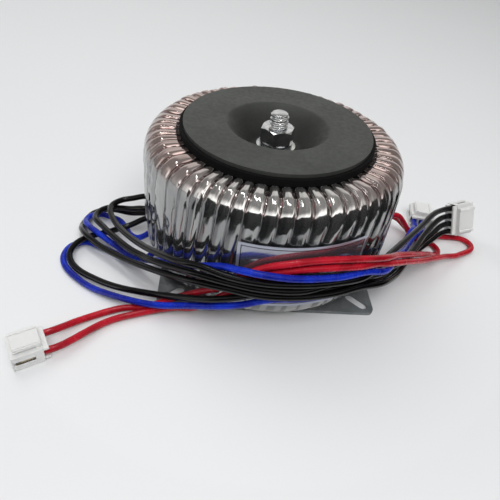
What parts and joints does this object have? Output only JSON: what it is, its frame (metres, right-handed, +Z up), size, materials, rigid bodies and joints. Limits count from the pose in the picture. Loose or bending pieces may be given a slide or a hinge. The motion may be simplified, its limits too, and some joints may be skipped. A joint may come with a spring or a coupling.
{
  "type": "toroidal power transformer",
  "caption": "Toroidal mains transformer clamped between a slotted base plate and a dished top plate, with flexible colour-coded leads ending in crimp housings.",
  "frame": {"origin": "on the axis of the centre bolt, at the underside of the base plate", "axes": "+Z up along the bolt; X and Y along the sides of the base plate; -Y is the side of the label, and the leads leave the ring near -X and +X"},
  "size_m": [0.2131, 0.1392, 0.069],
  "materials": {
    "plate_steel": "satin",
    "gasket_rubber": "matt",
    "core_steel": "satin",
    "crepe_tape": "matt",
    "copper": "enamelled",
    "inner_film": "clear",
    "outer_film": "clear, mirror-like over copper",
    "label_stock": "satin",
    "dish_steel": "matt",
    "zinc_steel": "bright zinc",
    "red_insulation": "semi-gloss",
    "black_insulation": "semi-gloss",
    "blue_insulation": "semi-gloss",
    "nylon": "translucent",
    "terminal_tin": "tinned"
  },
  "bodies": {
    "root": {"base_plate": "plate_steel", "bottom_gasket": "gasket_rubber", "core": "core_steel", "core_insulation": "crepe_tape", "primary_winding": "copper", "primary_film": "inner_film", "secondary_winding": "copper", "secondary_film": "inner_film", "auxiliary_winding": "copper", "outer_film": "outer_film", "label": "label_stock", "top_gasket": "gasket_rubber", "top_plate": "dish_steel", "centre_bolt": "zinc_steel", "flat_washer": "zinc_steel", "spring_washer": "zinc_steel", "hex_nut": "zinc_steel", "red_lead_1": "red_insulation", "red_lead_2": "red_insulation", "black_lead_1": "black_insulation", "black_lead_2": "black_insulation", "black_lead_3": "black_insulation", "black_lead_4": "black_insulation", "blue_lead_1": "blue_insulation", "blue_lead_2": "blue_insulation", "red_housing": "nylon", "black_housing": "nylon", "blue_housing": "nylon", "red_terminals": "terminal_tin", "black_terminals": "terminal_tin", "blue_terminals": "terminal_tin"}
  },
  "joints": []
}
